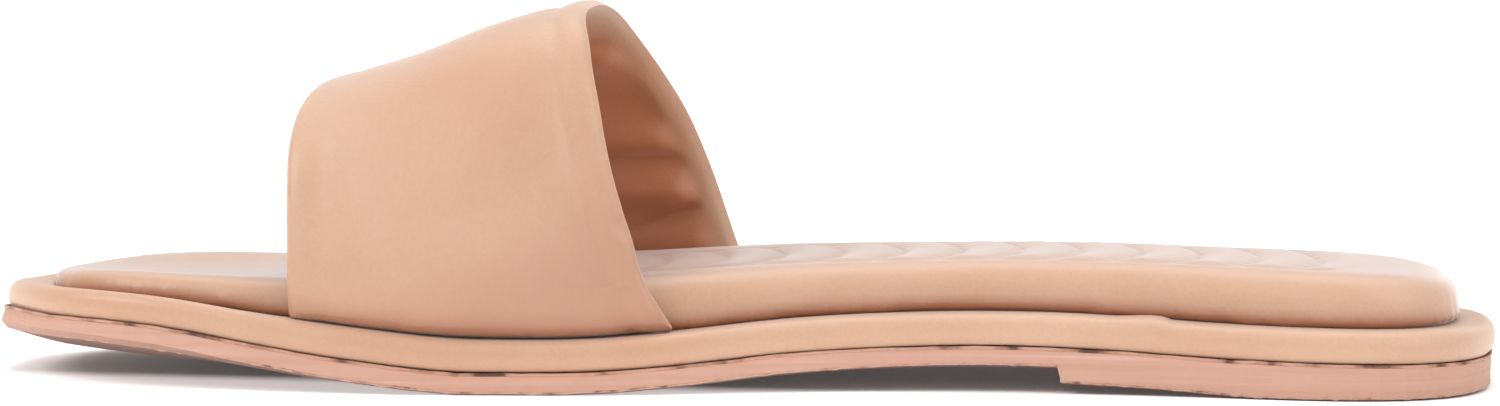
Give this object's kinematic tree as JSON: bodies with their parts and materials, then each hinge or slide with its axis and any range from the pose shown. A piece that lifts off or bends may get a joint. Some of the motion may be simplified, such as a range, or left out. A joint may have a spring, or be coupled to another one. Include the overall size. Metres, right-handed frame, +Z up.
{
  "type": "slide sandal",
  "caption": "Flat slide sandal with one wide padded strap over the instep, a padded footbed on a wrapped platform, and a thin moulded sole with a low heel.",
  "frame": {"origin": "middle of the bounding box at the floor", "axes": "+X from the toe to the heel, +Y towards the outer side of the foot, +Z up; the sandal stands on the floor at Z = 0"},
  "size_m": [0.2558, 0.0922, 0.0641],
  "materials": {
    "moulded_rubber": "matt moulded thermoplastic rubber, pinkish tan, finely brushed side",
    "wrap_leather": "smooth satin imitation leather, tan",
    "footbed_leather": "smooth satin imitation leather over foam, tan, softly quilted",
    "strap_leather": "smooth satin imitation leather over foam, tan"
  },
  "bodies": {
    "root": {"outsole": "moulded_rubber", "rand": "wrap_leather", "footbed": "footbed_leather", "upper": "strap_leather"}
  },
  "joints": []
}
